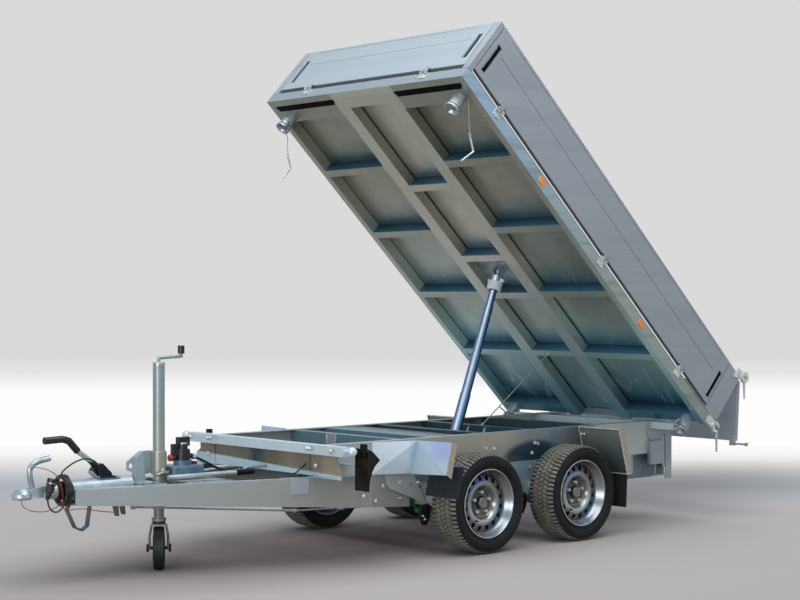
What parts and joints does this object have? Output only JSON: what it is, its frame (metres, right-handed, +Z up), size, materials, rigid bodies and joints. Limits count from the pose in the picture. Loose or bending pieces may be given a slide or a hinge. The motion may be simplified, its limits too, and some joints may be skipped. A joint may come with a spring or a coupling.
{
  "type": "tipper trailer",
  "caption": "Twin-axle braked tipper trailer: galvanised V-drawbar chassis, tipping aluminium drop-side bed on a telescopic ram, hanging tailgate, jockey wheel.",
  "frame": {"origin": "bottom centre of the box round the trailer as it stands, bed tipped, on the ground", "axes": "+X forward to the coupling, +Y to the trailer's left, +Z up"},
  "size_m": [4.4931, 1.708, 2.7745],
  "materials": {
    "aluminium": "anodised, satin",
    "black_plastic": "matt",
    "cast_steel": "zinc plated, rough",
    "chrome_steel": "hard chrome",
    "galvanised_steel": "hot-dip galvanised, satin",
    "green_paint": "green, semi-gloss",
    "grey_paint": "blue grey, semi-gloss",
    "orange_reflector": "prismatic orange",
    "red_plastic": "lens red",
    "red_sheath": "red sheath on steel rope",
    "rubber": "matt",
    "silver_paint": "silver, semi-gloss",
    "tyre_rubber": "matt"
  },
  "bodies": {
    "chassis": {"axles": "galvanised_steel", "brake_linkage": "galvanised_steel", "breakaway_cable": "red_sheath", "chassis_plates": "galvanised_steel", "coupling_head": "cast_steel", "cross_beams": "galvanised_steel", "cross_members": "galvanised_steel", "dampers": "green_paint", "drawbar_beams": "galvanised_steel", "drawbar_bellows": "rubber", "hand_grips": "black_plastic", "jockey_clamp": "galvanised_steel", "jockey_mast": "galvanised_steel", "mud_flaps": "rubber", "mudguards": "galvanised_steel", "overrun_housing": "galvanised_steel", "plug_and_coil": "black_plastic", "plug_cable": "rubber", "plug_lead": "rubber", "pump_body": "black_plastic", "pump_hose": "rubber", "pump_lever": "galvanised_steel", "pump_tank": "grey_paint", "rails": "galvanised_steel", "rear_lamps": "red_plastic", "ring_cable": "red_sheath", "wheel_chocks": "black_plastic"},
    "bed": {"bed_beams": "galvanised_steel", "bed_cross_members": "galvanised_steel", "bed_floor": "aluminium", "bed_rails": "galvanised_steel", "bed_sockets": "galvanised_steel", "corner_posts": "aluminium", "cup_pins": "galvanised_steel", "gate_latches": "galvanised_steel", "pin_lanyard_left": "galvanised_steel", "pin_lanyard_right": "galvanised_steel", "side_reflectors": "orange_reflector", "wall_hinges": "galvanised_steel"},
    "left_side": {"wall_left": "aluminium"},
    "right_side": {"wall_right": "aluminium"},
    "front_wall": {"wall_front": "aluminium"},
    "tailgate": {"tailgate": "aluminium"},
    "ram_barrel": {"ram_barrel": "galvanised_steel"},
    "ram_stage_1": {"ram_stage_1": "chrome_steel"},
    "ram_stage_2": {"ram_stage_2": "chrome_steel"},
    "ram_stage_3": {"ram_stage_3": "chrome_steel"},
    "ram_stage_4": {"ram_stage_4": "chrome_steel"},
    "ram_rod": {"ram_rod": "chrome_steel"},
    "wheel_front_left": {"rim_front_left": "silver_paint", "tyre_front_left": "tyre_rubber"},
    "wheel_front_right": {"rim_front_right": "silver_paint", "tyre_front_right": "tyre_rubber"},
    "wheel_rear_left": {"rim_rear_left": "silver_paint", "tyre_rear_left": "tyre_rubber"},
    "wheel_rear_right": {"rim_rear_right": "silver_paint", "tyre_rear_right": "tyre_rubber"},
    "jockey_fork": {"jockey_fork": "galvanised_steel"},
    "jockey_wheel": {"jockey_wheel": "rubber"}
  },
  "joints": [
    {"name": "bed_tip", "type": "hinge", "parent": "chassis", "child": "bed", "pos_m": [-1.77044, 0, 0.585], "axis": [0, -1, 0], "range_deg": [-43.28, 0]},
    {"name": "tailgate_swing", "type": "hinge", "parent": "bed", "child": "tailgate", "pos_m": [-2.21356, 0, 0.85864], "axis": [0, 1, 0], "range_deg": [-39.28, 60]},
    {"name": "left_side_fold", "type": "hinge", "parent": "bed", "child": "left_side", "pos_m": [-0.94874, 0.82, 1.54011], "axis": [-0.728, 0, -0.6856], "range_deg": [0, 180]},
    {"name": "right_side_fold", "type": "hinge", "parent": "bed", "child": "right_side", "pos_m": [-0.94874, -0.82, 1.54011], "axis": [0.728, 0, 0.6856], "range_deg": [0, 180]},
    {"name": "front_wall_fold", "type": "hinge", "parent": "bed", "child": "front_wall", "pos_m": [0.10106, 0, 2.52869], "axis": [0, 1, 0], "range_deg": [0, 90]},
    {"name": "ram_swing", "type": "hinge", "parent": "chassis", "child": "ram_barrel", "pos_m": [-0.53144, 0, 0.41], "axis": [0, 1, 0], "range_deg": [0, 17.61]},
    {"name": "ram_stage_1_slide", "type": "slide", "parent": "ram_barrel", "child": "ram_stage_1", "axis": [-0.3553, 0, 0.9347], "range_m": [-0.05101, 0]},
    {"name": "ram_stage_2_slide", "type": "slide", "parent": "ram_stage_1", "child": "ram_stage_2", "axis": [-0.3553, 0, 0.9347], "range_m": [-0.21901, 0]},
    {"name": "ram_stage_3_slide", "type": "slide", "parent": "ram_stage_2", "child": "ram_stage_3", "axis": [-0.3553, 0, 0.9347], "range_m": [-0.24201, 0]},
    {"name": "ram_stage_4_slide", "type": "slide", "parent": "ram_stage_3", "child": "ram_stage_4", "axis": [-0.3553, 0, 0.9347], "range_m": [-0.28301, 0]},
    {"name": "ram_rod_slide", "type": "slide", "parent": "ram_stage_4", "child": "ram_rod", "axis": [-0.3553, 0, 0.9347], "range_m": [-0.09418, 0]},
    {"name": "wheel_front_left_spin", "type": "hinge", "parent": "chassis", "child": "wheel_front_left", "pos_m": [-0.12644, 0.656, 0.2625], "axis": [0, 1, 0], "continuous": true},
    {"name": "wheel_front_right_spin", "type": "hinge", "parent": "chassis", "child": "wheel_front_right", "pos_m": [-0.12644, -0.656, 0.2625], "axis": [0, 1, 0], "continuous": true},
    {"name": "wheel_rear_left_spin", "type": "hinge", "parent": "chassis", "child": "wheel_rear_left", "pos_m": [-0.85644, 0.656, 0.2625], "axis": [0, 1, 0], "continuous": true},
    {"name": "wheel_rear_right_spin", "type": "hinge", "parent": "chassis", "child": "wheel_rear_right", "pos_m": [-0.85644, -0.656, 0.2625], "axis": [0, 1, 0], "continuous": true},
    {"name": "jockey_swivel", "type": "hinge", "parent": "chassis", "child": "jockey_fork", "pos_m": [1.43856, 0, 0.3], "axis": [0, 0, 1], "continuous": true},
    {"name": "jockey_wheel_spin", "type": "hinge", "parent": "jockey_fork", "child": "jockey_wheel", "pos_m": [1.43856, 0, 0.106], "axis": [-0.829, 0.5592, 0], "continuous": true}
  ],
  "couplings": [
    {"joint": "ram_swing", "follows": "bed_tip", "ratio": -0.40663},
    {"joint": "ram_stage_1_slide", "follows": "bed_tip", "m_per_rad": 0.067516},
    {"joint": "ram_stage_2_slide", "follows": "bed_tip", "m_per_rad": 0.28992},
    {"joint": "ram_stage_3_slide", "follows": "bed_tip", "m_per_rad": 0.32037},
    {"joint": "ram_stage_4_slide", "follows": "bed_tip", "m_per_rad": 0.37465},
    {"joint": "ram_rod_slide", "follows": "bed_tip", "m_per_rad": 0.12467}
  ]
}
